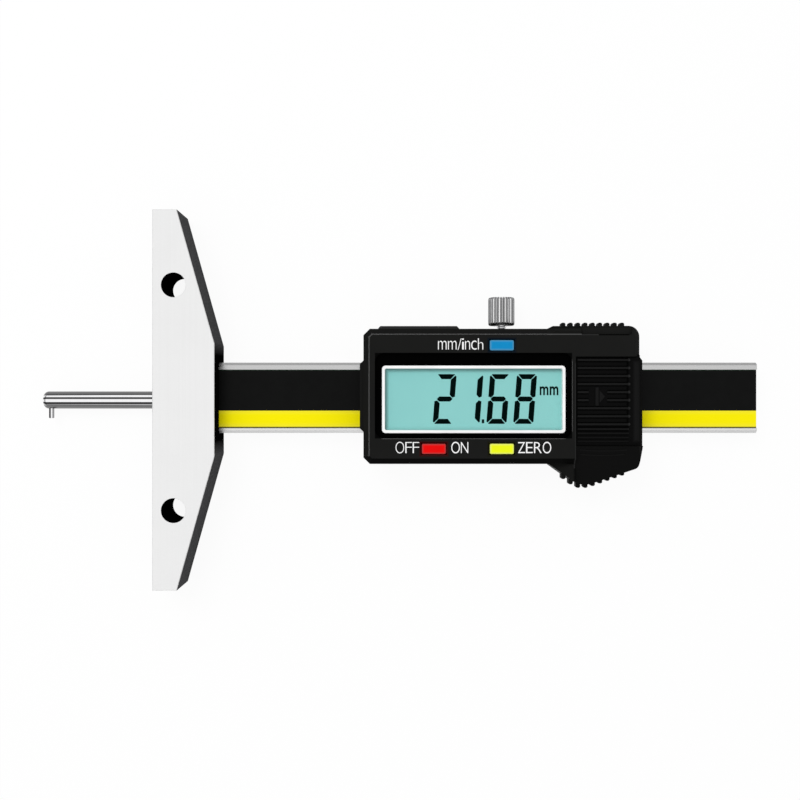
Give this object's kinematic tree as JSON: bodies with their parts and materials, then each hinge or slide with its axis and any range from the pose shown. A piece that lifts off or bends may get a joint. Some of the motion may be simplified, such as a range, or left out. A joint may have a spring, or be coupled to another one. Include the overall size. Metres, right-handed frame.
{
  "type": "depth gauge",
  "caption": "Digital hook depth gauge: a holed crossbar base on a beam, a sliding display head with buttons, and a round rod with a hook pin.",
  "frame": {"origin": "on the plane of the base's measuring face, at the depth rod's centre line across the beam, level with the plane that the base's back and the head's back plate lie on", "axes": "+X along the beam towards its tail, +Y across the beam towards the lock screw, +Z out of the display"},
  "size_m": [0.1629, 0.0844, 0.0153],
  "materials": {
    "base_steel": "hardened stainless steel, ground with a fine satin grain along the bar",
    "beam_steel": "hardened stainless steel, ground and satin finished",
    "frame_steel": "machined stainless steel",
    "plate_steel": "sheet steel, satin",
    "rod_steel": "polished drill rod",
    "screw_steel": "nickel plated steel",
    "lock_steel": "nickel plated, coarse straight knurl",
    "gib_brass": "rolled brass",
    "housing_plastic": "black moulded ABS, fine satin texture",
    "cover_plastic": "black moulded ABS, darker and more matt",
    "port_plastic": "black moulded ABS",
    "ring_plastic": "white moulded plastic",
    "lens_acrylic": "clear polished acrylic",
    "display_glass": "pale teal display glass with a reflective back",
    "holder_plastic": "natural moulded plastic",
    "label_film": "printed film, black above and yellow below",
    "board_laminate": "green glass-epoxy laminate",
    "contact_gold": "gold plated copper",
    "chip_resin": "moulded resin and plated cans",
    "strip_rubber": "layered silicone rubber",
    "dome_rubber": "silicone rubber with carbon pills",
    "mode_blue": "blue moulded plastic",
    "power_red": "red moulded plastic",
    "zero_yellow": "yellow moulded plastic",
    "cell_steel": "nickel plated steel can",
    "contact_steel": "nickel plated spring bronze"
  },
  "bodies": {
    "beam": {"base": "base_steel", "beam": "beam_steel", "scale_board": "board_laminate", "scale_label": "label_film", "base_screws": "screw_steel", "stop_plate": "plate_steel", "stop_screws": "screw_steel"},
    "slider": {"slider_frame": "frame_steel", "back_plate": "plate_steel", "housing_screws": "screw_steel", "plate_screws": "screw_steel", "gib_strip": "gib_brass", "gib_set_screws": "screw_steel", "front_housing": "housing_plastic", "main_board": "board_laminate", "board_components": "chip_resin", "port_contacts": "contact_gold", "lcd_holder": "holder_plastic", "zebra_strips": "strip_rubber", "lcd_panel": "display_glass", "lcd_frame": "ring_plastic", "display_lens": "lens_acrylic", "button_domes": "dome_rubber", "battery": "cell_steel", "battery_contact_positive": "contact_steel", "battery_contact_negative": "contact_steel", "depth_rod": "rod_steel", "hook_pin": "rod_steel", "rod_screws": "screw_steel"},
    "lock_pad": {"lock_pad": "gib_brass"},
    "lock_screw": {"lock_screw": "lock_steel"},
    "mode_button": {"mode_button": "mode_blue"},
    "power_button": {"power_button": "power_red"},
    "zero_button": {"zero_button": "zero_yellow"},
    "battery_cover": {"battery_cover": "cover_plastic"},
    "port_cover": {"port_cover": "port_plastic"}
  },
  "joints": [
    {"name": "slider_slide", "type": "slide", "parent": "beam", "child": "slider", "axis": [1, 0, 0], "range_m": [-0.032, 0.0245]},
    {"name": "lock_pad_slide", "type": "slide", "parent": "slider", "child": "lock_pad", "axis": [0, 1, 0], "range_m": [-0.000112, 0.000449]},
    {"name": "lock_screw_turn", "type": "hinge", "parent": "lock_pad", "child": "lock_screw", "pos_m": [0.0781, 0.017, 0.0045], "axis": [0, 1, 0], "range_deg": [-90, 360]},
    {"name": "mode_press", "type": "slide", "parent": "slider", "child": "mode_button", "axis": [0, 0, -1], "range_m": [0, 0.0004], "stiffness_N_per_m": 1500},
    {"name": "power_press", "type": "slide", "parent": "slider", "child": "power_button", "axis": [0, 0, -1], "range_m": [0, 0.0004], "stiffness_N_per_m": 1500},
    {"name": "zero_press", "type": "slide", "parent": "slider", "child": "zero_button", "axis": [0, 0, -1], "range_m": [0, 0.0004], "stiffness_N_per_m": 1500},
    {"name": "battery_cover_slide", "type": "slide", "parent": "slider", "child": "battery_cover", "axis": [1, 0, 0], "range_m": [0, 0.014]},
    {"name": "port_cover_slide", "type": "slide", "parent": "slider", "child": "port_cover", "axis": [-1, 0, 0], "range_m": [0, 0.012]}
  ],
  "couplings": [
    {"joint": "lock_screw_turn", "follows": "lock_pad_slide", "rad_per_m": 13963}
  ]
}
